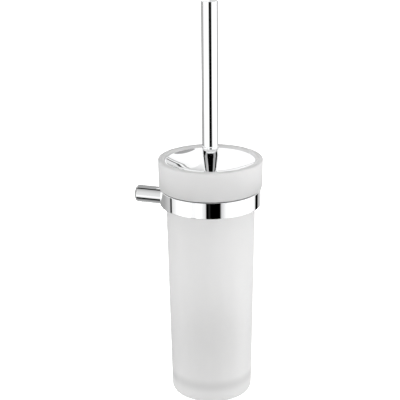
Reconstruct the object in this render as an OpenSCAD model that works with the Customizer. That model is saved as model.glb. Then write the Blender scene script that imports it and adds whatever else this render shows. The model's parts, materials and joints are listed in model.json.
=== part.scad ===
/* [Wall arm] */
// Distance from the wall to the tumbler's upright axis
wall_gap = 73; // [65:0.5:90]
// Diameter of the arm
arm_d = 16; // [14:0.5:20]
// Radius of the arm's edge at the wall
arm_edge_r = 2.4; // [1:0.1:3]
// Diameter of the bush that is screwed to the wall
bush_d = 8; // [7:0.5:9]
// Length of the wall bush
bush_l = 11; // [9:0.5:12]
// Diameter of the hole for the wall screw
wall_screw_d = 4.5; // [4:0.5:5]
// Diameter of the grub screw
grub_d = 4; // [3:0.5:4]
// Distance from the wall to the grub screw
grub_y = 6; // [5:0.5:7]
// Thread diameter of the screw between ring and arm
arm_screw_d = 5; // [4:0.5:5]
// Height of that screw above the arm's axis
arm_screw_rise = 3; // [2.5:0.1:3.5]

/* [Ring] */
// Outer diameter of the ring
ring_d = 92.7; // [90:0.1:100]
// Height of the ring
ring_h = 15; // [12:0.5:20]
// Wall of the ring
ring_t = 3.2; // [2.5:0.1:4]
// Height of the ring's middle above the arm's axis
ring_rise = 4.9; // [0:0.1:5]
// Wall of the plastic liner in the ring
liner_t = 1.4; // [1:0.1:2]
// Thickness of the liner's flange, on which the tumbler's collar rests
liner_flange = 0.7; // [0.5:0.1:1]

/* [Tumbler] */
// Height of the tumbler's rim above the ring's middle
rim_rise = 35.8; // [32:0.1:42]
// Depth of the tumbler's foot below the ring's middle
foot_drop = 194.8; // [180:0.1:210]
// Outer diameter at the rim
rim_d = 96.1; // [94:0.1:104]
// Wall of the collar at the rim
rim_t = 5.7; // [4:0.1:7]
// Radius of the rim's two edges
rim_edge_r = 1.5; // [0.5:0.1:2]
// Height of the solid shoulder that the lid rests on
shoulder_h = 9; // [7:0.5:12]
// Outer diameter just under the collar
body_d = 82.8; // [80:0.1:83]
// Outer diameter at the foot
foot_d = 75.8; // [72:0.1:80]
// Wall of the body
body_t = 5.4; // [4:0.1:6]
// Thickness of the floor
floor_t = 13; // [8:0.5:16]
// Radius of the outer edge at the foot
foot_edge_r = 6; // [3:0.5:7]

/* [Lid] */
// Depth of the lid's edge below the rim
lid_drop = 2; // [1:0.1:4]
// Depth of the lid's dish
dish_depth = 10; // [6:0.5:11]
// Thickness of the lid's sheet
lid_t = 1.3; // [1:0.1:1.5]
// Gap between the lid and the tumbler's collar
lid_gap = 0.55; // [0.4:0.05:1]
// Height of the bumper ring under the lid's skirt
bumper_h = 2.4; // [2:0.1:3]

/* [Handle] */
// Height of the handle's top above the ring's middle
handle_rise = 179; // [160:1:200]
// Diameter of the handle
handle_d = 15; // [13:0.1:16]
// Wall of the handle's tube
handle_t = 1.2; // [1:0.1:1.6]
// Height of the cap on the handle
cap_h = 3.8; // [3:0.1:6]
// Height of the ferrule's straight part
ferrule_straight = 9; // [4:0.1:10]
// Height of the ferrule's taper
ferrule_taper = 14.1; // [14:0.1:20]
// Height of each half of the groove between the tube and the ferrule
groove_h = 1; // [0.5:0.1:1.5]
// Depth of that groove
groove_t = 0.35; // [0.2:0.05:0.5]
// Diameter of the ferrule where it meets the lid
ferrule_foot_d = 11; // [9:0.1:12]

/* [Brush] */
// Diameter of the rod between the lid and the brush head
rod_d = 8; // [7:0.5:9]
// Thread diameter at the rod's ends
thread_d = 6; // [5:0.5:6]
// Outer diameter of the bristles
head_d = 62; // [56:0.5:63]
// Height of the brush head with its bristles
head_h = 80; // [70:1:82]
// Gap between the lowest bristles and the tumbler's floor
head_gap = 5; // [4:0.5:8]
// Diameter of the head's core
core_d = 20; // [18:0.5:24]
// Number of rows of side tufts
row_count = 7; // [7:1:7]
// Number of tufts in each row
row_tufts = 12; // [10:1:14]
// Diameter of a tuft at its root
tuft_d = 3.2; // [2.5:0.1:3.4]
// Height of a tuft's straight root above the bottom of its hole
tuft_root = 5; // [4.8:0.1:6]
// Diameter of a tuft at its tip
tuft_tip_d = 7; // [5:0.5:8]
// Depth of the holes that hold the tufts
tuft_hole = 4; // [3:0.5:4]

/* [Hidden] */
$fn = 96;
eps = 0.01;
slip = 0.05;
press_slip = 0.02;

ring_z = ring_rise;
ring_r = ring_d / 2;
ring_top = ring_z + ring_h / 2;
ring_bottom = ring_z - ring_h / 2;
ring_bore_r = ring_r - ring_t;
liner_bore_r = ring_bore_r - liner_t;
liner_drop = ring_h - 1.2;
rim_z = ring_z + rim_rise;
foot_z = ring_z - foot_drop;
rim_r = rim_d / 2;
mouth_r = rim_r - rim_t;
collar_z = ring_top + liner_flange;
collar_r = rim_r - 0.6;
collar_edge_r = 2;
shoulder_z = collar_z + shoulder_h;
body_r = body_d / 2;
foot_r = foot_d / 2;
floor_z = foot_z + floor_t;
floor_edge_r = 7;

lid_r = mouth_r - lid_gap;
lid_edge_z = rim_z - lid_drop;
lid_centre_z = lid_edge_z - dish_depth;
lid_lip_r = 1.2;
dish_edge_r = lid_r - lid_lip_r;
dish_r = (pow(dish_edge_r, 2) + pow(dish_depth, 2)) / (2 * dish_depth);
skirt_z = shoulder_z + bumper_h;
rod_hole_r = thread_d / 2 + 0.2;

cap_plug_h = 7;
handle_r = handle_d / 2;
handle_bore_r = handle_r - handle_t;
handle_top = ring_z + handle_rise;
tube_top = handle_top - cap_h;
ferrule_top = lid_centre_z + ferrule_taper + ferrule_straight;
ferrule_spigot_h = 6;
insert_h = 16;

washer_h = 3;
washer_r = 11;
washer_neck_r = 6;
nut_h = 5;
nut_af = 10;
rod_r = rod_d / 2;
thread_r = thread_d / 2;
lid_under_z = lid_centre_z - lid_t;
nut_z = lid_under_z - washer_h - nut_h;
head_bottom = floor_z + head_gap;
head_top = head_bottom + head_h;
end_tuft_l = 12;
core_bottom = head_bottom + end_tuft_l;
core_r = core_d / 2;
core_h = head_h - end_tuft_l - 2;
core_insert_h = 14;
core_insert_r = 5;
row_pitch = 8;
row_first = core_bottom + 7;
head_r = head_d / 2;

grub_tip_z = -bush_d / 2;
grub_foot_z = -arm_d / 2 + 0.4;
grub_socket_af = 2;
grub_socket_l = 2;
bush_sink_d = bush_d - 1;
bush_sink_h = (bush_sink_d - wall_screw_d) / 2;
arm_l = wall_gap - ring_r;
arm_bore_l = bush_l + 1;
arm_screw_head_d = 9.2;
arm_screw_head_h = (arm_screw_head_d - arm_screw_d) / 2;
arm_screw_l = 12;
arm_screw_sink = 0.4;
arm_screw_y = -(wall_gap - ring_bore_r) + arm_screw_sink;
arm_screw_af = 3;

// Moves a part from the tumbler's axis to its place in front of the wall
module at_axis() {
    translate([0, -wall_gap, 0])
        children();
}

// Lays a part that stands along +Z so that it points away from the wall
module away_from_wall() {
    rotate([90, 0, 0])
        children();
}

// Lays a part that stands along +Z so that it points from the ring to the wall, at the arm screw
module along_arm_screw() {
    translate([0, arm_screw_y, arm_screw_rise])
        rotate([-90, 0, 0])
            children();
}

// Hexagonal prism by its width across flats
module hexagon(across, height) {
    cylinder(d = across / cos(30), h = height, $fn = 6);
}

// Quarter disc that rounds an outer edge, with the rounded corner towards +X and the given Y
module rounded_corner(radius, up) {
    intersection() {
        circle(r = radius);
        translate([0, up > 0 ? 0 : -radius])
            square(radius);
    }
}

module wall_bush() {
    color("gainsboro")
        away_from_wall()
            difference() {
                cylinder(d = bush_d, h = bush_l);
                translate([0, 0, -1])
                    cylinder(d = wall_screw_d, h = bush_l + 2);
                translate([0, 0, bush_l - bush_sink_h])
                    cylinder(d1 = wall_screw_d, d2 = bush_sink_d, h = bush_sink_h);
            }
}

// Half section of the arm, with its edge at the wall rounded
module arm_profile() {
    arm_r = arm_d / 2;
    union() {
        translate([0, arm_edge_r])
            square([arm_r, arm_l]);
        square([arm_r - arm_edge_r, arm_edge_r]);
        translate([arm_r - arm_edge_r, arm_edge_r])
            rounded_corner(arm_edge_r, -1);
    }
}

module wall_arm() {
    color("silver")
        difference() {
            away_from_wall()
                rotate_extrude()
                    arm_profile();
            at_axis()
                translate([0, 0, -arm_d])
                    cylinder(r = ring_r, h = 2 * arm_d, $fn = 180);
            away_from_wall()
                translate([0, 0, -1])
                    cylinder(d = bush_d + 2 * slip, h = arm_bore_l + 1);
            along_arm_screw()
                cylinder(d = arm_screw_d + 2 * slip, h = arm_screw_l + 0.5);
            translate([0, -grub_y, -arm_d])
                cylinder(d = grub_d + 2 * slip, h = arm_d);
        }
}

module grub_screw() {
    tip_h = 0.6;
    color("dimgray")
        translate([0, -grub_y, grub_foot_z])
            difference() {
                union() {
                    cylinder(d = grub_d, h = grub_tip_z - tip_h - grub_foot_z);
                    translate([0, 0, grub_tip_z - tip_h - grub_foot_z])
                        cylinder(d1 = grub_d, d2 = grub_d - 2 * tip_h, h = tip_h - 0.02);
                }
                translate([0, 0, -1])
                    hexagon(grub_socket_af, grub_socket_l + 1);
            }
}

module arm_screw() {
    color("lightgray")
        along_arm_screw()
            difference() {
                union() {
                    cylinder(d1 = arm_screw_head_d, d2 = arm_screw_d, h = arm_screw_head_h);
                    cylinder(d = arm_screw_d, h = arm_screw_l);
                }
                translate([0, 0, -1])
                    hexagon(arm_screw_af, 2.8);
            }
}

module holder_ring() {
    edge = 0.6;
    color("silver")
        difference() {
            at_axis()
                rotate_extrude($fn = 180)
                    polygon([
                        [ring_bore_r, ring_bottom], [ring_r - edge, ring_bottom], [ring_r, ring_bottom + edge],
                        [ring_r, ring_top - edge], [ring_r - edge, ring_top], [ring_bore_r, ring_top]
                    ]);
            along_arm_screw()
                translate([0, 0, -arm_screw_sink - 1]) {
                    cylinder(d = arm_screw_head_d, h = arm_screw_sink + 1);
                    cylinder(d = arm_screw_d + 0.4, h = ring_t + 3);
                }
            along_arm_screw()
                cylinder(d1 = arm_screw_head_d, d2 = arm_screw_d, h = arm_screw_head_h);
        }
}

module ring_liner() {
    flange_r = ring_r - 0.7;
    color("whitesmoke")
        at_axis()
            rotate_extrude($fn = 180)
                polygon([
                    [liner_bore_r, ring_top - liner_drop], [ring_bore_r, ring_top - liner_drop],
                    [ring_bore_r, ring_top], [flange_r, ring_top], [flange_r, collar_z],
                    [liner_bore_r, collar_z]
                ]);
}

// Outer half section of the tumbler: rim and collar over a body that tapers to the foot
module tumbler_outline() {
    union() {
        polygon([
            [0, collar_z + collar_edge_r], [collar_r, collar_z + collar_edge_r],
            [rim_r, rim_z - rim_edge_r], [0, rim_z - rim_edge_r]
        ]);
        translate([0, rim_z - rim_edge_r])
            square([rim_r - rim_edge_r, rim_edge_r]);
        translate([rim_r - rim_edge_r, rim_z - rim_edge_r])
            rounded_corner(rim_edge_r, 1);
        translate([0, collar_z])
            square([collar_r - collar_edge_r, collar_edge_r]);
        translate([collar_r - collar_edge_r, collar_z + collar_edge_r])
            rounded_corner(collar_edge_r, -1);
        polygon([
            [0, foot_z + foot_edge_r], [foot_r, foot_z + foot_edge_r],
            [body_r, collar_z], [0, collar_z]
        ]);
        translate([0, foot_z])
            square([foot_r - foot_edge_r, foot_edge_r]);
        translate([foot_r - foot_edge_r, foot_z + foot_edge_r])
            rounded_corner(foot_edge_r, -1);
    }
}

// Half section of the tumbler's hollow: a wide mouth, a shoulder and a tapered well with a round foot
module tumbler_hollow() {
    well_top_r = body_r - body_t;
    well_foot_r = foot_r - body_t;
    union() {
        translate([0, shoulder_z])
            square([mouth_r, rim_z - rim_edge_r - shoulder_z]);
        difference() {
            translate([0, rim_z - rim_edge_r])
                square([mouth_r + rim_edge_r, rim_edge_r + 1]);
            translate([mouth_r + rim_edge_r, rim_z - rim_edge_r])
                circle(r = rim_edge_r);
        }
        polygon([
            [0, floor_z + floor_edge_r], [well_foot_r, floor_z + floor_edge_r],
            [well_top_r, shoulder_z + eps], [0, shoulder_z + eps]
        ]);
        translate([0, floor_z])
            square([well_foot_r - floor_edge_r, floor_edge_r]);
        translate([well_foot_r - floor_edge_r, floor_z + floor_edge_r])
            rounded_corner(floor_edge_r, -1);
    }
}

module tumbler() {
    color("aliceblue")
        at_axis()
            rotate_extrude($fn = 180)
                difference() {
                    tumbler_outline();
                    tumbler_hollow();
                }
}

module handle_cap() {
    edge = 0.4;
    color("silver")
        at_axis() {
            translate([0, 0, tube_top])
                cylinder(r = handle_r, h = cap_h - edge);
            translate([0, 0, handle_top - edge])
                cylinder(r1 = handle_r, r2 = handle_r - edge, h = edge);
            translate([0, 0, tube_top - cap_plug_h])
                cylinder(r = handle_bore_r - press_slip, h = cap_plug_h);
        }
}

module handle_tube() {
    color("silver")
        at_axis()
            translate([0, 0, ferrule_top])
                difference() {
                    union() {
                        cylinder(r1 = handle_r - groove_t, r2 = handle_r, h = groove_h);
                        translate([0, 0, groove_h])
                            cylinder(r = handle_r, h = tube_top - ferrule_top - groove_h);
                    }
                    translate([0, 0, -1])
                        cylinder(r = handle_bore_r, h = tube_top - ferrule_top + 2);
                }
}

module tube_insert() {
    color("goldenrod")
        at_axis()
            translate([0, 0, ferrule_top + ferrule_spigot_h])
                difference() {
                    cylinder(r = handle_bore_r - press_slip, h = insert_h);
                    translate([0, 0, -1])
                        cylinder(r = thread_r + slip, h = insert_h + 2);
                }
}

module ferrule() {
    color("silver")
        at_axis()
            difference() {
                union() {
                    translate([0, 0, lid_centre_z])
                        cylinder(d1 = ferrule_foot_d, r2 = handle_r, h = ferrule_taper);
                    translate([0, 0, lid_centre_z + ferrule_taper])
                        cylinder(r = handle_r, h = ferrule_straight - groove_h);
                    translate([0, 0, ferrule_top - groove_h])
                        cylinder(r1 = handle_r, r2 = handle_r - groove_t, h = groove_h);
                    translate([0, 0, ferrule_top])
                        cylinder(r = handle_bore_r - press_slip, h = ferrule_spigot_h);
                }
                translate([0, 0, lid_centre_z - 1])
                    cylinder(r = rod_hole_r, h = ferrule_taper + ferrule_straight + ferrule_spigot_h + 2);
            }
}

// Half section of the lid: a dish with a rolled lip and a skirt
module lid_profile() {
    flat_r = washer_neck_r;
    seat_r = ferrule_foot_d / 2 + 0.3;
    sphere_z = lid_centre_z + dish_r;
    difference() {
        union() {
            translate([0, lid_centre_z - lid_t])
                square([lid_r - lid_lip_r, lid_edge_z - lid_centre_z + lid_t]);
            translate([lid_r - lid_lip_r, lid_edge_z - lid_lip_r])
                rounded_corner(lid_lip_r, 1);
            translate([lid_r - lid_t, skirt_z])
                square([lid_t, lid_edge_z - lid_lip_r - skirt_z]);
        }
        intersection() {
            translate([0, sphere_z])
                circle(r = dish_r, $fn = 360);
            translate([0, lid_centre_z])
                square([lid_r, dish_depth + 1]);
        }
        translate([0, lid_centre_z])
            square([seat_r, dish_depth]);
        difference() {
            translate([0, skirt_z - 1])
                square([lid_r - lid_t, lid_edge_z - skirt_z + 1]);
            translate([0, sphere_z])
                circle(r = dish_r + lid_t, $fn = 360);
            square([flat_r, lid_centre_z]);
        }
        square([rod_hole_r, lid_edge_z]);
    }
}

module lid() {
    color("silver")
        at_axis()
            rotate_extrude($fn = 180)
                lid_profile();
}

module bumper_ring() {
    inner_r = lid_r - lid_t - 1.8;
    color("white")
        at_axis()
            rotate_extrude($fn = 180) {
                translate([inner_r, shoulder_z])
                    square([lid_r - 0.2 - inner_r, bumper_h]);
                translate([inner_r, skirt_z])
                    square([lid_r - lid_t - inner_r, 4]);
            }
}

module lid_washer() {
    color("lightgray")
        at_axis()
            translate([0, 0, lid_under_z - washer_h])
                difference() {
                    union() {
                        cylinder(r = washer_r, h = washer_h - 1);
                        cylinder(r = washer_neck_r, h = washer_h);
                    }
                    translate([0, 0, -1])
                        cylinder(r = rod_hole_r, h = washer_h + 2);
                }
}

module lid_nut() {
    color("lightgray")
        at_axis()
            translate([0, 0, nut_z])
                difference() {
                    hexagon(nut_af, nut_h);
                    translate([0, 0, -1])
                        cylinder(r = thread_r + slip, h = nut_h + 2);
                }
}

module brush_rod() {
    shank_bottom = head_top + 1;
    color("silver")
        at_axis() {
            translate([0, 0, shank_bottom])
                cylinder(r = rod_r, h = nut_z - shank_bottom);
            translate([0, 0, nut_z])
                cylinder(r = thread_r, h = ferrule_top + ferrule_spigot_h + insert_h - 1 - nut_z);
            translate([0, 0, head_top - core_insert_h + 2])
                cylinder(r = thread_r, h = shank_bottom - head_top + core_insert_h - 2);
        }
}

module core_insert() {
    color("goldenrod")
        at_axis()
            translate([0, 0, head_top - core_insert_h])
                difference() {
                    cylinder(r = core_insert_r, h = core_insert_h);
                    translate([0, 0, 1.5])
                        cylinder(r = thread_r + slip, h = core_insert_h);
                }
}

// Places one tuft so that its root stands on the bottom of its hole, pointing outwards along +Z
module tuft(length) {
    root_r = tuft_d / 2;
    cylinder(r = root_r, h = tuft_root);
    translate([0, 0, tuft_root])
        cylinder(r1 = root_r, d2 = tuft_tip_d, h = length - tuft_root);
}

// Height and first angle of one row of side tufts
function row_z(row) = row_first + row * row_pitch;
function row_turn(row) = (row % 2) * 180 / row_tufts;

// Repeats a tuft round the core at one row
module round_row(row) {
    for (i = [0 : row_tufts - 1])
        translate([0, 0, row_z(row)])
            rotate([0, 90, row_turn(row) + i * 360 / row_tufts])
                translate([0, 0, core_r - tuft_hole])
                    children();
}

// Repeats a tuft over the lower end of the core, in one ring round a middle tuft
module over_end() {
    translate([0, 0, core_bottom + tuft_hole])
        rotate([180, 0, 0])
            children();
    for (i = [0 : 5])
        rotate([0, 0, i * 60])
            translate([core_r * 0.62, 0, core_bottom + tuft_hole])
                rotate([0, 162, 0])
                    children();
}

module brush_core() {
    neck_r = 7.5;
    color("white")
        at_axis()
            difference() {
                union() {
                    translate([0, 0, core_bottom])
                        cylinder(r = core_r, h = core_h - 8);
                    translate([0, 0, core_bottom + core_h - 8])
                        cylinder(r1 = core_r, r2 = neck_r, h = 6);
                    translate([0, 0, core_bottom + core_h - 2])
                        cylinder(r = neck_r, h = head_top - core_bottom - core_h + 2);
                }
                translate([0, 0, head_top - core_insert_h])
                    cylinder(r = core_insert_r, h = core_insert_h + 1);
                for (row = [0 : row_count - 1])
                    round_row(row)
                        cylinder(d = tuft_d, h = tuft_hole + 1);
                over_end()
                    cylinder(d = tuft_d, h = tuft_hole + 1);
            }
}

module tuft_row(row) {
    color("snow")
        at_axis()
            round_row(row)
                tuft(head_r - core_r + tuft_hole);
}

module end_tufts() {
    color("snow")
        at_axis()
            over_end()
                tuft(end_tuft_l + tuft_hole - 0.3);
}

wall_bush();
wall_arm();
grub_screw();
arm_screw();
holder_ring();
ring_liner();
tumbler();
handle_cap();
handle_tube();
tube_insert();
ferrule();
lid();
bumper_ring();
lid_washer();
lid_nut();
brush_rod();
core_insert();
brush_core();
for (row = [0 : row_count - 1])
    tuft_row(row);
end_tufts();
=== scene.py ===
import json
import math
import random

import bmesh
import bpy
from mathutils import Matrix, Vector


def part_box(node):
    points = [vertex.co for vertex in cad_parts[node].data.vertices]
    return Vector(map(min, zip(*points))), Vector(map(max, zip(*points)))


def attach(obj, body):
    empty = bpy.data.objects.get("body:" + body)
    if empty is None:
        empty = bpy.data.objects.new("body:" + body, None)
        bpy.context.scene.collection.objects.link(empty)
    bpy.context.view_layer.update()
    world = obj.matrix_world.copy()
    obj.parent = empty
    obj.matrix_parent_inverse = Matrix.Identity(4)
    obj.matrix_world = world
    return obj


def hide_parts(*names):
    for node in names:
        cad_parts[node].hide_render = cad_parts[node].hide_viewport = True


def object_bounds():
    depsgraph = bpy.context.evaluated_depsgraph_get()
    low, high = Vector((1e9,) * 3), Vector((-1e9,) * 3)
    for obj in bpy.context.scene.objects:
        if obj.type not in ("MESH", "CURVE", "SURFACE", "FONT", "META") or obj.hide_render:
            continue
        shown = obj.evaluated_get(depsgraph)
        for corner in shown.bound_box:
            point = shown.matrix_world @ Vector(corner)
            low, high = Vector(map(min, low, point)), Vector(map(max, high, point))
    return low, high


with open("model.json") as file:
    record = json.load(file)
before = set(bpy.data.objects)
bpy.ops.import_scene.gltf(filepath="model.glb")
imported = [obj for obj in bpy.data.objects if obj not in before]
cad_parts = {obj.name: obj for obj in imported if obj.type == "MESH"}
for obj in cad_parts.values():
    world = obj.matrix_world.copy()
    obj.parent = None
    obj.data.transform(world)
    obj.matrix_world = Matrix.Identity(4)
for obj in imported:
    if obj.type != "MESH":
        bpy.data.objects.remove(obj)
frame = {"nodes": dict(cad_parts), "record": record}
cad_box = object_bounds()

MM = 0.001
nodes = frame["nodes"]


# --- where things are, from the frame ---
def spread(node):
    """A CAD node's half width along X, and its lowest and highest Z."""
    low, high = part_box(node)
    return (high.x - low.x) / 2, low.z, high.z


AXIS_Y = sum(corner.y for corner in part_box("tumbler")) / 2
RING_R, RING_LOW, RING_HIGH = spread("holder_ring")
RIM_R, FOOT_Z, RIM_Z = spread("tumbler")
FLANGE_R, LINER_LOW, COLLAR_Z = spread("ring_liner")
LID_R, SKIRT_Z, LID_EDGE = spread("lid")
BUMPER_R, SHOULDER_Z, BUMPER_TOP = spread("bumper_ring")
HANDLE_R, TUBE_LOW, TUBE_HIGH = spread("handle_tube")
FERRULE_LOW, FERRULE_HIGH = spread("ferrule")[1:]
CAP_LOW, CAP_HIGH = spread("handle_cap")[1:]
WASHER_R, WASHER_LOW, WASHER_HIGH = spread("lid_washer")
NUT_LOW, NUT_HIGH = spread("lid_nut")[1:]
ROD_R, ROD_LOW, ROD_HIGH = spread("brush_rod")
CORE_LOW, CORE_HIGH = spread("brush_core")[1:]
ARM_R = spread("wall_arm")[0]
BUSH_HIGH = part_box("wall_bush")[1]
GRUB_LOW, GRUB_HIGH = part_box("grub_screw")
SCREW_LOW, SCREW_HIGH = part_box("arm_screw")
RING_MID = Vector((0, AXIS_Y, (RING_LOW + RING_HIGH) / 2))

# --- sizes of the sections, the same as the CAD's ---
RING_WALL = 3.2 * MM
LINER_WALL = 1.4 * MM
RIM_WALL = 5.7 * MM
BODY_WALL = 5.4 * MM
BODY_R = 41.4 * MM
FOOT_R = 37.9 * MM
GLASS_FLOOR = 13 * MM
DISH_DEPTH = 10 * MM
LID_WALL = 1.3 * MM
LID_LIP = 1.2 * MM
TUBE_WALL = 1.2 * MM
FIT = 0.02 * MM
GROOVE = 0.35 * MM
TAPER = 14.1 * MM
FERRULE_FOOT_R = 5.5 * MM
ROD_HOLE_R = 3.2 * MM
THREAD_R = 3 * MM
WASHER_NECK_R = 6 * MM
CORE_R = 10 * MM
HEAD_R = 31 * MM
TUFT_SINK = 2.5 * MM
HAIR_R = 0.2 * MM
ROWS = 7
ROW_TUFTS = 12
HAIRS = 34
AROUND = 256

# --- the glass: how much of it scatters, and the soft band of painted shade that stands for the well's floor ---
MILKINESS = 0.8
PAINTED_SHADE_RISE = 5 * MM
PAINTED_SHADE_REACH = 8 * MM
# painted shade: the glass's colour is darkened to this share at the middle of the band
PAINTED_SHADE_DIM = 0.86

# --- the photograph's viewpoint ---
VIEW_AZIMUTH = math.radians(-71.5)
VIEW_DISTANCE = 1.045
VIEW_HEIGHT = 0.347
VIEW_PITCH = math.radians(-18.6)
VIEW_ROLL = math.radians(0.54)
VIEW_YAW = math.radians(0.54)
FOCAL_RATIO = 1197 / 400


def material(name):
    """An empty node material: its nodes, its links and its output."""
    mat = bpy.data.materials.new(name)
    mat.use_nodes = True
    tree = mat.node_tree
    tree.nodes.clear()
    out = tree.nodes.new("ShaderNodeOutputMaterial")
    return mat, tree, out


def add(tree, kind, **inputs):
    """A new node with its named inputs set."""
    node = tree.nodes.new(kind)
    for key, value in inputs.items():
        node.inputs[key.replace("_", " ")].default_value = value
    return node


def noise(tree, scale, detail=3.0, stretch=(1, 1, 1)):
    """A noise texture on the object's own coordinates, so that it moves with the piece."""
    coords = tree.nodes.new("ShaderNodeTexCoord")
    mapping = add(tree, "ShaderNodeMapping", Scale=stretch)
    tex = add(tree, "ShaderNodeTexNoise", Scale=scale, Detail=detail)
    tree.links.new(coords.outputs["Object"], mapping.inputs["Vector"])
    tree.links.new(mapping.outputs["Vector"], tex.inputs["Vector"])
    return tex.outputs["Fac"]


def ranged(tree, value, low, high):
    """The value moved from 0..1 to low..high."""
    node = add(tree, "ShaderNodeMapRange", To_Min=low, To_Max=high)
    tree.links.new(value, node.inputs["Value"])
    return node.outputs["Result"]


def bump(tree, height, strength, distance):
    """A bump from a height."""
    node = add(tree, "ShaderNodeBump", Strength=strength, Distance=distance)
    tree.links.new(height, node.inputs["Height"])
    return node.outputs["Normal"]


def tinted(tree, value, dark, light):
    """A colour between dark and light, chosen by a value of 0..1."""
    ramp = tree.nodes.new("ShaderNodeValToRGB")
    ramp.color_ramp.elements[0].color = (*dark, 1)
    ramp.color_ramp.elements[1].color = (*light, 1)
    ramp.color_ramp.elements[0].position = 0.3
    ramp.color_ramp.elements[1].position = 0.7
    tree.links.new(value, ramp.inputs["Fac"])
    return ramp.outputs["Color"]


def metal(name, dark, light, rough_low, rough_high, grain=600.0, stretch=(1, 1, 1), bumpiness=0.0):
    """A metal with a slight change of tone, roughness in fine marks, and bump from the same marks."""
    mat, tree, out = material(name)
    shader = add(tree, "ShaderNodeBsdfPrincipled", Metallic=1.0)
    cloud = noise(tree, 45.0)
    marks = noise(tree, grain, 6.0, stretch)
    tree.links.new(tinted(tree, cloud, dark, light), shader.inputs["Base Color"])
    tree.links.new(ranged(tree, marks, rough_low, rough_high), shader.inputs["Roughness"])
    if bumpiness:
        tree.links.new(bump(tree, marks, bumpiness, 0.00005), shader.inputs["Normal"])
    tree.links.new(shader.outputs["BSDF"], out.inputs["Surface"])
    return mat


def plastic(name, dark, light, rough_low, rough_high, subsurface=0.0, grain=2500.0, bumpiness=0.05):
    """A moulded plastic with a fine surface grain."""
    mat, tree, out = material(name)
    shader = tree.nodes.new("ShaderNodeBsdfPrincipled")
    shader.inputs["IOR"].default_value = 1.5
    if subsurface:
        shader.inputs["Subsurface Weight"].default_value = subsurface
        shader.inputs["Subsurface Radius"].default_value = (0.004, 0.004, 0.004)
        shader.inputs["Subsurface Scale"].default_value = 0.5
    cloud = noise(tree, 60.0)
    fine = noise(tree, grain, 4.0)
    tree.links.new(tinted(tree, cloud, dark, light), shader.inputs["Base Color"])
    tree.links.new(ranged(tree, fine, rough_low, rough_high), shader.inputs["Roughness"])
    tree.links.new(bump(tree, fine, bumpiness, 0.0001), shader.inputs["Normal"])
    tree.links.new(shader.outputs["BSDF"], out.inputs["Surface"])
    return mat


def clear_glass(name):
    """The unetched inside face of the glass, with the faint unevenness of blown glass."""
    mat, tree, out = material(name)
    glass = tree.nodes.new("ShaderNodeBsdfPrincipled")
    glass.inputs["Transmission Weight"].default_value = 1.0
    glass.inputs["IOR"].default_value = 1.5
    waves = noise(tree, 40.0)
    tint = tinted(tree, waves, (0.965, 0.965, 0.963), (0.985, 0.985, 0.983))
    tree.links.new(tint, glass.inputs["Base Color"])
    tree.links.new(ranged(tree, noise(tree, 900.0), 0.05, 0.12), glass.inputs["Roughness"])
    tree.links.new(bump(tree, waves, 0.1, 0.0002), glass.inputs["Normal"])
    tree.links.new(glass.outputs["BSDF"], out.inputs["Surface"])
    return mat


def height_band(tree, middle, reach):
    """0..1 over a band of height on the object's own coordinates, 0.5 at its middle."""
    coords = tree.nodes.new("ShaderNodeTexCoord")
    axes = tree.nodes.new("ShaderNodeSeparateXYZ")
    tree.links.new(coords.outputs["Object"], axes.inputs["Vector"])
    node = add(tree, "ShaderNodeMapRange", From_Min=middle - reach, From_Max=middle + reach)
    tree.links.new(axes.outputs["Z"], node.inputs["Value"])
    return node.outputs["Result"]


def painted_shade(tree, band, colour, dim):
    """The colour with painted shade: darkened at the middle of a band of 0..1."""
    ramp = tree.nodes.new("ShaderNodeValToRGB")
    ramp.color_ramp.interpolation = "EASE"
    for stop in ramp.color_ramp.elements:
        stop.color = (*colour, 1)
    ramp.color_ramp.elements.new(0.5).color = (*(dim * part for part in colour), 1)
    tree.links.new(band, ramp.inputs["Fac"])
    return ramp.outputs["Color"]


def frosted_glass(name):
    """Clear glass etched to an even satin: light goes through it and scatters at each face.

    The scattering hides the well's rounded floor, so a soft darker band of painted shade by height stands for
    it."""
    mat, tree, out = material(name)
    # painted shade: a darker band by height at the well's floor, where the thick base would hold light back
    painted_floor_shade = height_band(tree, FOOT_Z + GLASS_FLOOR + PAINTED_SHADE_RISE, PAINTED_SHADE_REACH)
    etch = noise(tree, 5200.0, 5.0)
    cloud = noise(tree, 28.0)
    glass = tree.nodes.new("ShaderNodeBsdfPrincipled")
    glass.inputs["Transmission Weight"].default_value = 1.0
    glass.inputs["IOR"].default_value = 1.5
    tint = tinted(tree, cloud, (0.89, 0.888, 0.887), (0.93, 0.928, 0.927))
    tree.links.new(tint, glass.inputs["Base Color"])
    tree.links.new(ranged(tree, etch, 0.55, 0.7), glass.inputs["Roughness"])
    tree.links.new(bump(tree, etch, 0.08, 0.00008), glass.inputs["Normal"])
    milk = tree.nodes.new("ShaderNodeBsdfTranslucent")
    # both scattering colours are darkened in that band, as painted shade
    tree.links.new(painted_shade(tree, painted_floor_shade, (0.83, 0.829, 0.828), PAINTED_SHADE_DIM), milk.inputs["Color"])
    face = tree.nodes.new("ShaderNodeBsdfDiffuse")
    tree.links.new(painted_shade(tree, painted_floor_shade, (0.75, 0.749, 0.748), PAINTED_SHADE_DIM), face.inputs["Color"])
    haze = tree.nodes.new("ShaderNodeMixShader")
    haze.inputs["Fac"].default_value = 0.5
    tree.links.new(milk.outputs["BSDF"], haze.inputs[1])
    tree.links.new(face.outputs["BSDF"], haze.inputs[2])
    mix = tree.nodes.new("ShaderNodeMixShader")
    mix.inputs["Fac"].default_value = MILKINESS
    tree.links.new(glass.outputs["BSDF"], mix.inputs[1])
    tree.links.new(haze.outputs["Shader"], mix.inputs[2])
    tree.links.new(mix.outputs["Shader"], out.inputs["Surface"])
    return mat


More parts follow.
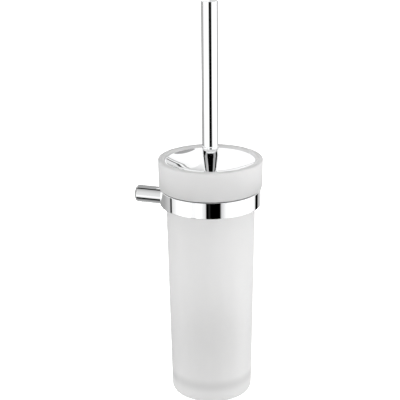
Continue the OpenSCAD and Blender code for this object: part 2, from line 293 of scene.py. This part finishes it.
MATERIALS = {
    "chrome": metal("chrome_plate", (0.90, 0.905, 0.91), (0.93, 0.935, 0.94), 0.015, 0.04),
    "frosted_glass": frosted_glass("satin_glass"),
    "liner_plastic": plastic("liner_plastic", (0.05, 0.05, 0.052), (0.08, 0.08, 0.082), 0.4, 0.5),
    "bumper_plastic": plastic("bumper_plastic", (0.60, 0.60, 0.59), (0.67, 0.67, 0.66), 0.35, 0.45, 0.3),
    "steel": metal("turned_steel", (0.55, 0.56, 0.57), (0.66, 0.67, 0.68), 0.18, 0.34,
                   grain=900.0, stretch=(1, 1, 12), bumpiness=0.2),
    "rod_steel": metal("polished_rod", (0.66, 0.67, 0.68), (0.74, 0.75, 0.76), 0.08, 0.18,
                       grain=700.0, stretch=(1, 1, 8), bumpiness=0.1),
    "black_steel": metal("blackened_steel", (0.05, 0.05, 0.055), (0.09, 0.09, 0.10), 0.3, 0.5,
                         grain=1200.0, bumpiness=0.3),
    "brass": metal("turned_brass", (0.66, 0.49, 0.22), (0.80, 0.62, 0.31), 0.2, 0.36,
                   grain=900.0, stretch=(1, 1, 12), bumpiness=0.2),
    "core_plastic": plastic("core_plastic", (0.68, 0.68, 0.67), (0.76, 0.76, 0.75), 0.2, 0.3, 0.2),
    "bristles": plastic("nylon_bristle", (0.68, 0.68, 0.67), (0.84, 0.84, 0.83), 0.3, 0.45, 0.1,
                        grain=900.0, bumpiness=0.1),
}


def dress_cad_nodes():
    """Gives every carried-over CAD node the material of its slot in the record."""
    for part in frame["record"]["subparts"]:
        mesh = nodes[part["node"]].data
        mesh.materials.clear()
        mesh.materials.append(MATERIALS[part["material_slot"]])


UPRIGHT = Matrix.Translation((0, AXIS_Y, 0))
FROM_WALL = Matrix.Rotation(math.pi / 2, 4, "X")


def filleted(outline, closed):
    """The outline's points, each (radius, height, fillet), with its corners rounded off."""
    points = []
    last = len(outline) - 1
    for i, (radius, height, fillet) in enumerate(outline):
        corner = Vector((radius, height))
        if fillet <= 0 or (not closed and i in (0, last)):
            points.append(corner)
            continue
        before = Vector(outline[i - 1][:2]) - corner
        after = Vector(outline[(i + 1) % len(outline)][:2]) - corner
        reach = 0.45 * min(before.length, after.length)
        before.normalize()
        after.normalize()
        half = before.angle(after) / 2
        back = min(fillet * MM / math.tan(half), reach)
        centre = corner + (before + after).normalized() * back / math.cos(half)
        first = corner + before * back - centre
        final = corner + after * back - centre
        turn = math.pi - 2 * half
        guard = min(0.1 * MM, 0.1 * reach)
        points.append(corner + before * (back + guard))
        steps = max(3, math.ceil(math.degrees(turn) / 12))
        for k in range(steps + 1):
            t = k / steps
            on_arc = first * math.sin((1 - t) * turn) + final * math.sin(t * turn)
            points.append(centre + on_arc / math.sin(turn))
        points.append(corner + after * (back + guard))
    return points


def shade(mesh, limit=35):
    """Smooth shading, with edges steeper than the limit in degrees left sharp."""
    bm = bmesh.new()
    bm.from_mesh(mesh)
    for face in bm.faces:
        face.smooth = True
    for edge in bm.edges:
        edge.smooth = len(edge.link_faces) == 2 and edge.calc_face_angle(0) < math.radians(limit)
    bm.to_mesh(mesh)
    bm.free()


def new_piece(name, bm):
    """An object made of the mesh that was built."""
    bmesh.ops.recalc_face_normals(bm, faces=bm.faces)
    mesh = bpy.data.meshes.new(name)
    bm.to_mesh(mesh)
    bm.free()
    piece = bpy.data.objects.new(name, mesh)
    bpy.context.scene.collection.objects.link(piece)
    shade(mesh)
    return piece


def lathe(name, outline, closed=True, place=UPRIGHT, around=AROUND):
    """A turned piece: its outline of (radius, height, fillet in mm) swept round the axis."""
    bm = bmesh.new()
    rings = []
    for radius, height in filleted(outline, closed):
        if radius < 1e-7:
            rings.append([bm.verts.new((0, 0, height))])
            continue
        angles = [2 * math.pi * k / around for k in range(around)]
        rings.append([bm.verts.new((radius * math.cos(t), radius * math.sin(t), height)) for t in angles])
    pairs = list(zip(rings, rings[1:]))
    if closed:
        pairs.append((rings[-1], rings[0]))
    for one, two in pairs:
        for k in range(around):
            j = (k + 1) % around
            corners = [one[k % len(one)], one[j % len(one)], two[j % len(two)], two[k % len(two)]]
            bm.faces.new(list(dict.fromkeys(corners)))
    bm.transform(place)
    return new_piece(name, bm)


def shaped(piece, *tools, operation="DIFFERENCE"):
    """The piece with the tools cut out of it, or kept only where it meets them."""
    for tool in tools:
        boolean = piece.modifiers.new("shape", "BOOLEAN")
        boolean.operation = operation
        boolean.solver = "EXACT"
        boolean.object = tool
    bpy.context.view_layer.update()
    result = bpy.data.meshes.new_from_object(piece.evaluated_get(bpy.context.evaluated_depsgraph_get()))
    piece.modifiers.clear()
    piece.data = result
    for tool in tools:
        bpy.data.objects.remove(tool)
    shade(result)
    return piece


def fit_out(piece, body, slot, *replaced):
    """Gives a piece the material of its slot and a body, and hides the CAD nodes it stands for."""
    piece.data.materials.clear()
    piece.data.materials.append(MATERIALS[slot])
    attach(piece, body)
    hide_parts(*replaced)


def rod_shape(radius, low, high, place, around=96):
    """A plain solid bar along the place's axis, for cutting."""
    outline = [(0, low, 0), (radius, low, 0), (radius, high, 0), (0, high, 0)]
    return lathe("tool", outline, False, place, around)


def holder():
    """The ring with its countersunk screw hole, the arm, and the liner."""
    bore = RING_R - RING_WALL
    head_r = (SCREW_HIGH.x - SCREW_LOW.x) / 2
    screw_z = (SCREW_LOW.z + SCREW_HIGH.z) / 2
    screw_axis = Matrix.Translation((0, 0, screw_z)) @ FROM_WALL
    head_y = -SCREW_LOW.y
    shank_r = 2.5 * MM
    ring = lathe("ring_band", [
        (bore, RING_LOW, 0.4), (RING_R, RING_LOW, 0.6), (RING_R, RING_HIGH, 0.6), (bore, RING_HIGH, 0.4)
    ])
    sink = lathe("tool", [(0, head_y + 2 * MM, 0), (head_r, head_y + 2 * MM, 0), (head_r, head_y, 0),
                          (shank_r + 0.2 * MM, head_y - head_r + shank_r, 0),
                          (shank_r + 0.2 * MM, head_y - 8 * MM, 0), (0, head_y - 8 * MM, 0)],
                 False, screw_axis, 96)
    fit_out(shaped(ring, sink), "holder", "chrome", "holder_ring")

    gap = -AXIS_Y - RING_R
    arm = lathe("arm_bar", [(0, 0, 0), (ARM_R, 0, 2.4), (ARM_R, gap + 3 * MM, 0), (0, gap + 3 * MM, 0)],
                False, FROM_WALL, 192)
    bush_r = BUSH_HIGH.z + 0.05 * MM
    grub_r = GRUB_HIGH.x + 0.05 * MM
    grub_axis = Matrix.Translation((0, (GRUB_LOW.y + GRUB_HIGH.y) / 2, 0))
    shaped(arm, lathe("tool", [(0, -0.03, 0), (RING_R, -0.03, 0), (RING_R, 0.03, 0), (0, 0.03, 0)], False),
           rod_shape(bush_r, -1 * MM, 12 * MM, FROM_WALL),
           rod_shape(shank_r + 0.05 * MM, -SCREW_HIGH.y - 0.5 * MM, 30 * MM, screw_axis),
           rod_shape(grub_r, -0.02, 0, grub_axis))
    fit_out(arm, "holder", "chrome", "wall_arm")

    inner = bore - LINER_WALL
    liner = lathe("liner_sleeve", [(inner, LINER_LOW, 0.3), (bore, LINER_LOW, 0.2), (bore, RING_HIGH, 0),
                                   (FLANGE_R, RING_HIGH, 0.1), (FLANGE_R, COLLAR_Z, 0.2),
                                   (inner, COLLAR_Z, 0.3)])
    fit_out(liner, "holder", "liner_plastic", "ring_liner")


def tumbler():
    """The glass: a thick collar over a tapered body, with a rounded well inside."""
    floor_z = FOOT_Z + GLASS_FLOOR
    mouth = RIM_R - RIM_WALL
    glass = lathe("glass_tumbler", [
        (0, floor_z, 0), (FOOT_R - BODY_WALL, floor_z, 7), (BODY_R - BODY_WALL, SHOULDER_Z, 0.6),
        (mouth, SHOULDER_Z, 0.5), (mouth, RIM_Z, 1.5), (RIM_R, RIM_Z, 1.5), (RIM_R - 0.6 * MM, COLLAR_Z, 2),
        (BODY_R, COLLAR_Z, 0.3), (FOOT_R, FOOT_Z, 6), (0, FOOT_Z, 0)
    ], False)
    fit_out(glass, "tumbler", "frosted_glass", "tumbler")
    glass.data.materials.append(clear_glass("clear_glass"))
    for face in glass.data.polygons:
        middle = face.center
        away = math.hypot(middle.x, middle.y - AXIS_Y)
        lean = BODY_R - (BODY_R - FOOT_R) * (COLLAR_Z - middle.z) / (COLLAR_Z - FOOT_Z)
        if FOOT_Z + 5 * MM < middle.z < SHOULDER_Z - 1 * MM and away < lean - 2 * MM:
            face.material_index = 1


def lid():
    """The dished lid with its rolled lip and skirt, and the bumper, washer and nut under it."""
    dish_edge = LID_R - LID_LIP
    dish_r = (dish_edge ** 2 + DISH_DEPTH ** 2) / (2 * DISH_DEPTH)
    centre_z = LID_EDGE - DISH_DEPTH
    sphere_z = centre_z + dish_r
    seat = FERRULE_FOOT_R + 0.3 * MM
    steps = 24
    upper = [(ROD_HOLE_R, centre_z, 0), (seat, centre_z, 0)]
    for k in range(1, steps):
        r = seat + (dish_edge - seat) * k / steps
        upper.append((r, sphere_z - math.sqrt(dish_r ** 2 - r ** 2), 0))
    skirt = LID_R - LID_WALL
    under = []
    for k in range(steps + 1):
        r = skirt - (skirt - WASHER_NECK_R) * k / steps
        under.append((r, sphere_z - math.sqrt((dish_r + LID_WALL) ** 2 - r ** 2), 0))
    edge = [
        (dish_edge, LID_EDGE, 0.25), (LID_R, LID_EDGE, 1.15), (LID_R, SKIRT_Z, 0.25), (skirt, SKIRT_Z, 0.25)
    ]
    foot = [(WASHER_NECK_R, centre_z - LID_WALL, 0), (ROD_HOLE_R, centre_z - LID_WALL, 0)]
    fit_out(lathe("lid_dish", upper + edge + under + foot), "brush", "chrome", "lid")

    inner = LID_R - LID_WALL - 1.8 * MM
    bumper = lathe("bumper_band", [
        (inner, SHOULDER_Z, 0.5), (BUMPER_R, SHOULDER_Z, 0.6), (BUMPER_R, SKIRT_Z, 0.3),
        (skirt, SKIRT_Z, 0), (skirt, BUMPER_TOP, 0.3), (inner, BUMPER_TOP, 0.4)
    ])
    fit_out(bumper, "brush", "bumper_plastic", "bumper_ring")

    step = WASHER_HIGH - 1 * MM
    washer = lathe("washer_disc", [
        (ROD_HOLE_R, WASHER_LOW, 0.2), (WASHER_R, WASHER_LOW, 0.4), (WASHER_R, step, 0.4),
        (WASHER_NECK_R, step, 0.2), (WASHER_NECK_R, WASHER_HIGH, 0), (ROD_HOLE_R, WASHER_HIGH, 0)
    ])
    fit_out(washer, "brush", "steel", "lid_washer")

    flat = 5 * MM
    corner = flat / math.cos(math.pi / 6)
    slope = (corner - flat) * 0.5
    nut = lathe("hex_nut", [
        (THREAD_R, NUT_LOW, 0.2), (flat, NUT_LOW, 0), (corner + FIT, NUT_LOW + slope, 0),
        (corner + FIT, NUT_HIGH - slope, 0), (flat, NUT_HIGH, 0), (THREAD_R, NUT_HIGH, 0)
    ], around=192)
    turned = UPRIGHT @ Matrix.Rotation(math.radians(0.01), 4, "Z")
    prism = rod_shape(corner, NUT_LOW - 1 * MM, NUT_HIGH + 1 * MM, turned, 6)
    fit_out(shaped(nut, prism, operation="INTERSECT"), "brush", "steel", "lid_nut")


def handle():
    """The tube with its cap, the tapered ferrule, and the rod down to the brush head."""
    bore = HANDLE_R - TUBE_WALL
    plug = bore - FIT
    step = 1 * MM
    cap = lathe("cap_disc", [
        (0, CAP_HIGH, 0), (HANDLE_R, CAP_HIGH, 0.45), (HANDLE_R, TUBE_HIGH, 0.12),
        (plug, TUBE_HIGH, 0), (plug, CAP_LOW, 0.3), (0, CAP_LOW, 0)
    ], False)
    fit_out(cap, "brush", "chrome", "handle_cap")
    tube = lathe("grip_tube", [
        (bore, TUBE_LOW, 0), (HANDLE_R - GROOVE, TUBE_LOW, 0), (HANDLE_R, TUBE_LOW + step, 0.3),
        (HANDLE_R, TUBE_HIGH, 0.12), (bore, TUBE_HIGH, 0)
    ])
    fit_out(tube, "brush", "chrome", "handle_tube")
    ferrule = lathe("taper_ferrule", [
        (ROD_HOLE_R, FERRULE_HIGH, 0.2), (plug, FERRULE_HIGH, 0.3), (plug, TUBE_LOW, 0),
        (HANDLE_R - GROOVE, TUBE_LOW, 0), (HANDLE_R, TUBE_LOW - step, 0.3),
        (HANDLE_R, FERRULE_LOW + TAPER, 0.3), (FERRULE_FOOT_R, FERRULE_LOW, 0), (ROD_HOLE_R, FERRULE_LOW, 0)
    ])
    fit_out(ferrule, "brush", "chrome", "ferrule")
    shank_low = CORE_HIGH + 1 * MM
    rod = lathe("steel_rod", [
        (0, ROD_LOW, 0), (THREAD_R, ROD_LOW, 0.5), (THREAD_R, shank_low, 0), (ROD_R, shank_low, 0.5),
        (ROD_R, NUT_LOW, 0.4), (THREAD_R, NUT_LOW, 0), (THREAD_R, ROD_HIGH, 0.5), (0, ROD_HIGH, 0)
    ], False, around=128)
    fit_out(rod, "brush", "rod_steel", "brush_rod")


def filament(bm, root, tip, sag, thick):
    """One nylon hair from root to tip, a little bent and thinner towards its tip."""
    along = (tip - root).normalized()
    side = along.orthogonal().normalized()
    other = along.cross(side)
    sides, parts = 5, 4
    rings = []
    for k in range(parts + 1):
        t = k / parts
        middle = root.lerp(tip, t) + sag * t * t
        radius = thick * (1 - 0.25 * t)
        ring = []
        for j in range(sides):
            angle = 2 * math.pi * j / sides
            ring.append(bm.verts.new(middle + (side * math.cos(angle) + other * math.sin(angle)) * radius))
        rings.append(ring)
    for one, two in zip(rings, rings[1:]):
        for j in range(sides):
            k = (j + 1) % sides
            bm.faces.new((one[j], one[k], two[k], two[j]))
    bm.faces.new(rings[0][::-1])
    bm.faces.new(rings[-1])


def tuft(bm, root, out, length, tip_r, rng):
    """A bunch of hairs that spreads from its hole in the core."""
    side = out.orthogonal().normalized()
    other = out.cross(side)
    for _ in range(HAIRS):
        reach = math.sqrt(rng.random())
        angle = rng.uniform(0, 2 * math.pi)
        away = side * math.cos(angle) + other * math.sin(angle)
        start = root + away * reach * 1.3 * MM
        end = root + out * (length - rng.uniform(0, 1.4) * MM) + away * reach * tip_r
        bend = (side * rng.uniform(-1, 1) + other * rng.uniform(-1, 1)) * 0.5 * MM
        filament(bm, start, end, bend, HAIR_R)


def bristles():
    """Rows of side tufts, and the tufts under the head, all of fine hairs."""
    rng = random.Random(7)
    for row in range(ROWS):
        node = f"tuft_row_{row + 1}"
        low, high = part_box(node)
        middle = Vector((0, AXIS_Y, (low.z + high.z) / 2))
        bm = bmesh.new()
        for k in range(ROW_TUFTS):
            turn = math.pi * (2 * k + row % 2) / ROW_TUFTS
            out = Vector((math.cos(turn), math.sin(turn), 0))
            tuft(bm, middle + out * (CORE_R - TUFT_SINK), out, HEAD_R - CORE_R + 2.3 * MM, 3.2 * MM, rng)
        fit_out(new_piece(f"hairs_row_{row + 1}", bm), "head", "bristles", node)
    bm = bmesh.new()
    down = Vector((0, 0, -1))
    length = 14 * MM
    tip_r = 3 * MM
    tilt = math.radians(18)
    middle = Vector((0, AXIS_Y, CORE_LOW + TUFT_SINK))
    tuft(bm, middle, down, length, tip_r, rng)
    for k in range(6):
        turn = math.pi * k / 3
        out = Vector((math.cos(turn), math.sin(turn), 0))
        root = middle + out * CORE_R * 0.66
        tuft(bm, root, down * math.cos(tilt) + out * math.sin(tilt), length, tip_r, rng)
    fit_out(new_piece("hairs_end", bm), "head", "bristles", "end_tufts")


def camera():
    """The camera at the photograph's viewpoint."""
    back = Vector((math.sin(VIEW_AZIMUTH), -math.cos(VIEW_AZIMUTH), 0))
    data = bpy.data.cameras.new("camera")
    cam = bpy.data.objects.new("camera", data)
    bpy.context.scene.collection.objects.link(cam)
    bpy.context.scene.camera = cam
    data.sensor_width = 36
    data.lens = FOCAL_RATIO * data.sensor_width
    data.clip_end = 50
    cam.location = RING_MID + back * VIEW_DISTANCE + Vector((0, 0, VIEW_HEIGHT))
    upright = Matrix.Rotation(math.pi / 2 + VIEW_PITCH, 4, "X")
    turned = Matrix.Rotation(VIEW_AZIMUTH + VIEW_YAW, 4, "Z")
    rolled = Matrix.Rotation(-VIEW_ROLL, 4, "Z")
    cam.matrix_world = Matrix.Translation(cam.location) @ turned @ upright @ rolled


# Brightness round the studio by angle from the camera's side, in degrees, positive to its right
STUDIO = [
    (-180, 0.40), (-154, 0.36), (-132, 0.40), (-120, 0.52), (-109, 0.62), (-105.8, 0.62), (-105.2, 0.01),
    (-99.8, 0.01), (-99.2, 0.80), (-88, 1.0), (-76, 1.3), (-26, 1.3), (-14, 0.85), (-11.2, 0.72),
    (-10.8, 0.0), (-5, 0.0), (-4, 0.03), (-2, 0.02), (-1, 0.0), (21.8, 0.0), (23.6, 0.66), (30, 0.9),
    (40, 1.3), (100, 1.3), (118, 1.0), (121.5, 0.9), (122.5, 0.0), (134, 0.0), (137, 0.5),
    (150, 0.75), (165, 1.0), (180, 1.05),
]
# Brightness of the band of flags high in front, by angle from the camera's side
FLAG = [
    (-180, 1.15), (-128, 1.15), (-125, 0.0), (-100, 0.0), (-92, 0.4), (-58, 0.55), (-46, 0.0), (46, 0.0),
    (58, 0.5), (88, 0.35), (96, 0.0), (125, 0.0), (128, 1.15), (180, 1.15),
]
# Brightness of the long wall beside the arm, by angle round the arm's axis from -X upwards
ARM_BANDS = [
    (-130, 0.6), (-90, 0.42), (-70, 0.22), (-62, 0.13), (-58, 0.0), (-42, 0.0), (-39, 0.4), (-33, 1.0),
    (-12, 1.12), (0, 0.85), (30, 0.8), (60, 0.6), (77, 0.4), (80, 0.0), (95, 0.0), (98, 0.45),
    (104, 0.4), (130, 0.4),
]
# Brightness behind the holder at the left, by height in degrees above or below its lower dark line
BACK_LEFT = [
    (-20, 0.75), (-2.2, 0.85), (-1.0, 0.06), (0.8, 0.06), (1.6, 1.0), (4.2, 1.0), (4.8, 0.35), (6.0, 0.35),
    (7.2, 1.0), (20, 1.15),
]
# Where the two dark lines at the left stand: their height in degrees, by angle
LINES_LEFT = [(158, 17), (161, 17), (165, 17.8), (168.4, 18), (170, 15.5), (172, 11.7), (173.5, 10)]
# Brightness behind the holder at the right, by height in degrees
BACK_RIGHT = [(0, 0.68), (18, 0.74), (24, 0.84), (31, 0.93), (43, 1.15)]
# Brightness of the plain white above, between the flags
WHITE = 1.15


def calc(tree, operation, one, two=None, three=None):
    """A math node on sockets or plain numbers."""
    node = tree.nodes.new("ShaderNodeMath")
    node.operation = operation
    for socket, value in zip(node.inputs, (one, two, three)):
        if isinstance(value, (int, float)):
            socket.default_value = value
        elif value is not None:
            tree.links.new(value, socket)
    return node.outputs["Value"]


def stepped(tree, value, low, high, stops):
    """The brightness at a value of low..high, from stops of (value, brightness)."""
    place = add(tree, "ShaderNodeMapRange", From_Min=low, From_Max=high)
    tree.links.new(value, place.inputs["Value"])
    ramp = tree.nodes.new("ShaderNodeValToRGB")
    for _ in range(len(stops) - 2):
        ramp.color_ramp.elements.new(0.5)
    for stop, (at, level) in zip(ramp.color_ramp.elements, stops):
        stop.position = (at - low) / (high - low)
        stop.color = (level, level, level, 1)
    tree.links.new(place.outputs["Result"], ramp.inputs["Fac"])
    return ramp.outputs["Color"]


def between(tree, value, low, high, soft):
    """1 where the value is between low and high, fading to 0 over soft on each side."""
    up = calc(tree, "DIVIDE", calc(tree, "SUBTRACT", value, low - soft), soft)
    down = calc(tree, "DIVIDE", calc(tree, "SUBTRACT", high + soft, value), soft)
    lower = calc(tree, "MINIMUM", up, down)
    return calc(tree, "MAXIMUM", calc(tree, "MINIMUM", lower, 1.0), 0.0)


def blended(tree, one, two, mask):
    """one where the mask is 0, two where it is 1."""
    rest = calc(tree, "SUBTRACT", 1.0, mask)
    return calc(tree, "MULTIPLY_ADD", two, mask, calc(tree, "MULTIPLY", one, rest))


def studio_light():
    """A wrap-round studio: white walls with dark gaps at the horizon and below, white with flags above.

    It also holds the bands beside the arm, the thin lines behind the holder and a dark ground."""
    world = bpy.data.worlds.new("studio")
    bpy.context.scene.world = world
    world.use_nodes = True
    tree = world.node_tree
    tree.nodes.clear()
    out = tree.nodes.new("ShaderNodeOutputWorld")
    background = tree.nodes.new("ShaderNodeBackground")
    coords = tree.nodes.new("ShaderNodeTexCoord")
    turn = tree.nodes.new("ShaderNodeVectorRotate")
    turn.rotation_type = "Z_AXIS"
    turn.inputs["Angle"].default_value = math.pi / 2 - VIEW_AZIMUTH
    split = tree.nodes.new("ShaderNodeSeparateXYZ")
    tree.links.new(coords.outputs["Generated"], turn.inputs["Vector"])
    tree.links.new(turn.outputs["Vector"], split.inputs["Vector"])
    side = calc(tree, "DEGREES", calc(tree, "ARCTAN2", split.outputs["Y"], split.outputs["X"]))
    rise = calc(tree, "DEGREES", calc(tree, "ARCSINE", split.outputs["Z"]))
    low = stepped(tree, side, -180, 180, STUDIO)
    flag = stepped(tree, side, -180, 180, FLAG)
    high = blended(tree, WHITE, flag, between(tree, rise, 36, 68, 2))
    stripe = between(tree, side, -11, 22, 0.5)
    high = blended(tree, high, 0.0, calc(tree, "MULTIPLY", stripe, between(tree, rise, -90, 68, 2)))
    line = stepped(tree, side, 158, 173.5, [(at, height / 90) for at, height in LINES_LEFT])
    from_line = calc(tree, "MULTIPLY_ADD", line, -90.0, rise)
    high = blended(tree, high, stepped(tree, rise, 0, 90, BACK_RIGHT), between(tree, side, 173, 190, 1))
    high = blended(tree, high, stepped(tree, from_line, -20, 20, BACK_LEFT), between(tree, side, 158, 173, 1))
    strip = calc(tree, "MULTIPLY", between(tree, side, 147.5, 153.5, 0.5), between(tree, rise, 36, 62, 2))
    thin = calc(tree, "MULTIPLY", between(tree, side, 150, 153.5, 0.5), between(tree, rise, 16, 38, 2))
    strip = calc(tree, "MAXIMUM", strip, thin)
    high = blended(tree, high, 0.4, strip)
    level = blended(tree, low, high, between(tree, rise, 4, 90, 4))
    axes = tree.nodes.new("ShaderNodeSeparateXYZ")
    tree.links.new(coords.outputs["Generated"], axes.inputs["Vector"])
    round_arm = calc(tree, "DEGREES", calc(tree, "ARCTAN2", axes.outputs["Z"],
                                           calc(tree, "MULTIPLY", axes.outputs["X"], -1.0)))
    wall = calc(tree, "MULTIPLY", between(tree, axes.outputs["Y"], 0.27, 0.41, 0.02),
                between(tree, round_arm, -128, 104, 2))
    level = blended(tree, level, stepped(tree, round_arm, -130, 130, ARM_BANDS), wall)
    deep = between(tree, rise, -90, -66, 3)
    level = blended(tree, level, 0.1, calc(tree, "MULTIPLY", deep, calc(tree, "SUBTRACT", 1.0, wall)))
    tree.links.new(level, background.inputs["Color"])
    tree.links.new(background.outputs["Background"], out.inputs["Surface"])


def soft_box(name, side, rise, distance, size, power):
    """A wide soft light that the metal doesn't mirror, placed by its angles from the camera's side."""
    data = bpy.data.lights.new(name, "AREA")
    data.shape = "DISK"
    data.size = size
    data.energy = power
    lamp = bpy.data.objects.new(name, data)
    bpy.context.scene.collection.objects.link(lamp)
    turn = VIEW_AZIMUTH + math.radians(side)
    flat = Vector((math.sin(turn), -math.cos(turn), 0)) * math.cos(math.radians(rise))
    away = flat + Vector((0, 0, math.sin(math.radians(rise))))
    middle = Vector((0, AXIS_Y, (FOOT_Z + RIM_Z) / 2))
    lamp.location = middle + away * distance
    lamp.rotation_euler = away.to_track_quat("Z", "Y").to_euler()
    lamp.visible_glossy = False


def wall_cards():
    """Grey cards at the wall round the arm's end and above it, which only the metal's reflections see."""
    bm = bmesh.new()
    y = 2 * MM
    for left, low, right, high in ((0, 10, 90, 66), (-14, -14, 14, 9.9)):
        corners = [(left, low), (right, low), (right, high), (left, high)]
        bm.faces.new([bm.verts.new((x * MM, y, z * MM)) for x, z in corners])
    cards = new_piece("wall_cards", bm)
    mat, tree, out = material("grey_card")
    glow = tree.nodes.new("ShaderNodeEmission")
    glow.inputs["Color"].default_value = (0.4, 0.4, 0.4, 1)
    tree.links.new(glow.outputs["Emission"], out.inputs["Surface"])
    cards.data.materials.append(mat)
    for ray in ("camera", "diffuse", "shadow", "transmission", "volume_scatter"):
        setattr(cards, "visible_" + ray, False)


def backdrop():
    """A plain white dome behind everything, which only the camera sees."""
    bm = bmesh.new()
    bmesh.ops.create_uvsphere(bm, u_segments=64, v_segments=32, radius=9)
    bm.transform(UPRIGHT)
    dome = new_piece("backdrop", bm)
    mat, tree, out = material("white_backdrop")
    glow = tree.nodes.new("ShaderNodeEmission")
    glow.inputs["Color"].default_value = (1, 1, 1, 1)
    tree.links.new(glow.outputs["Emission"], out.inputs["Surface"])
    dome.data.materials.append(mat)
    for ray in ("glossy", "diffuse", "shadow", "transmission", "volume_scatter"):
        setattr(dome, "visible_" + ray, False)


def floor():
    """A plain pale floor well below the hanging holder."""
    bpy.ops.mesh.primitive_plane_add(size=12, location=(0, AXIS_Y, cad_box[0].z - 0.3))
    plane = bpy.context.object
    plane.name = "floor"
    mat, tree, out = material("pale_floor")
    shader = tree.nodes.new("ShaderNodeBsdfPrincipled")
    shader.inputs["Roughness"].default_value = 0.9
    shader.inputs["Emission Strength"].default_value = 0.9
    shader.inputs["Emission Color"].default_value = (1, 1, 1, 1)
    tint = tinted(tree, noise(tree, 3.0), (0.93, 0.93, 0.93), (0.95, 0.95, 0.95))
    tree.links.new(tint, shader.inputs["Base Color"])
    tree.links.new(shader.outputs["BSDF"], out.inputs["Surface"])
    plane.data.materials.append(mat)
    plane.visible_glossy = False
    plane.visible_transmission = False
    plane.visible_diffuse = False


dress_cad_nodes()
holder()
tumbler()
lid()
handle()
bristles()
camera()
studio_light()
soft_box("key", 78, 5, 1.6, 1.2, 20)
soft_box("fill", -70, 0, 1.6, 1.2, 14)
soft_box("front", 0, 0, 1.8, 1.4, 24)
soft_box("back", 165, 5, 1.6, 1.4, 10)
wall_cards()
backdrop()
floor()
scene = bpy.context.scene
scene.view_settings.view_transform = "Standard"
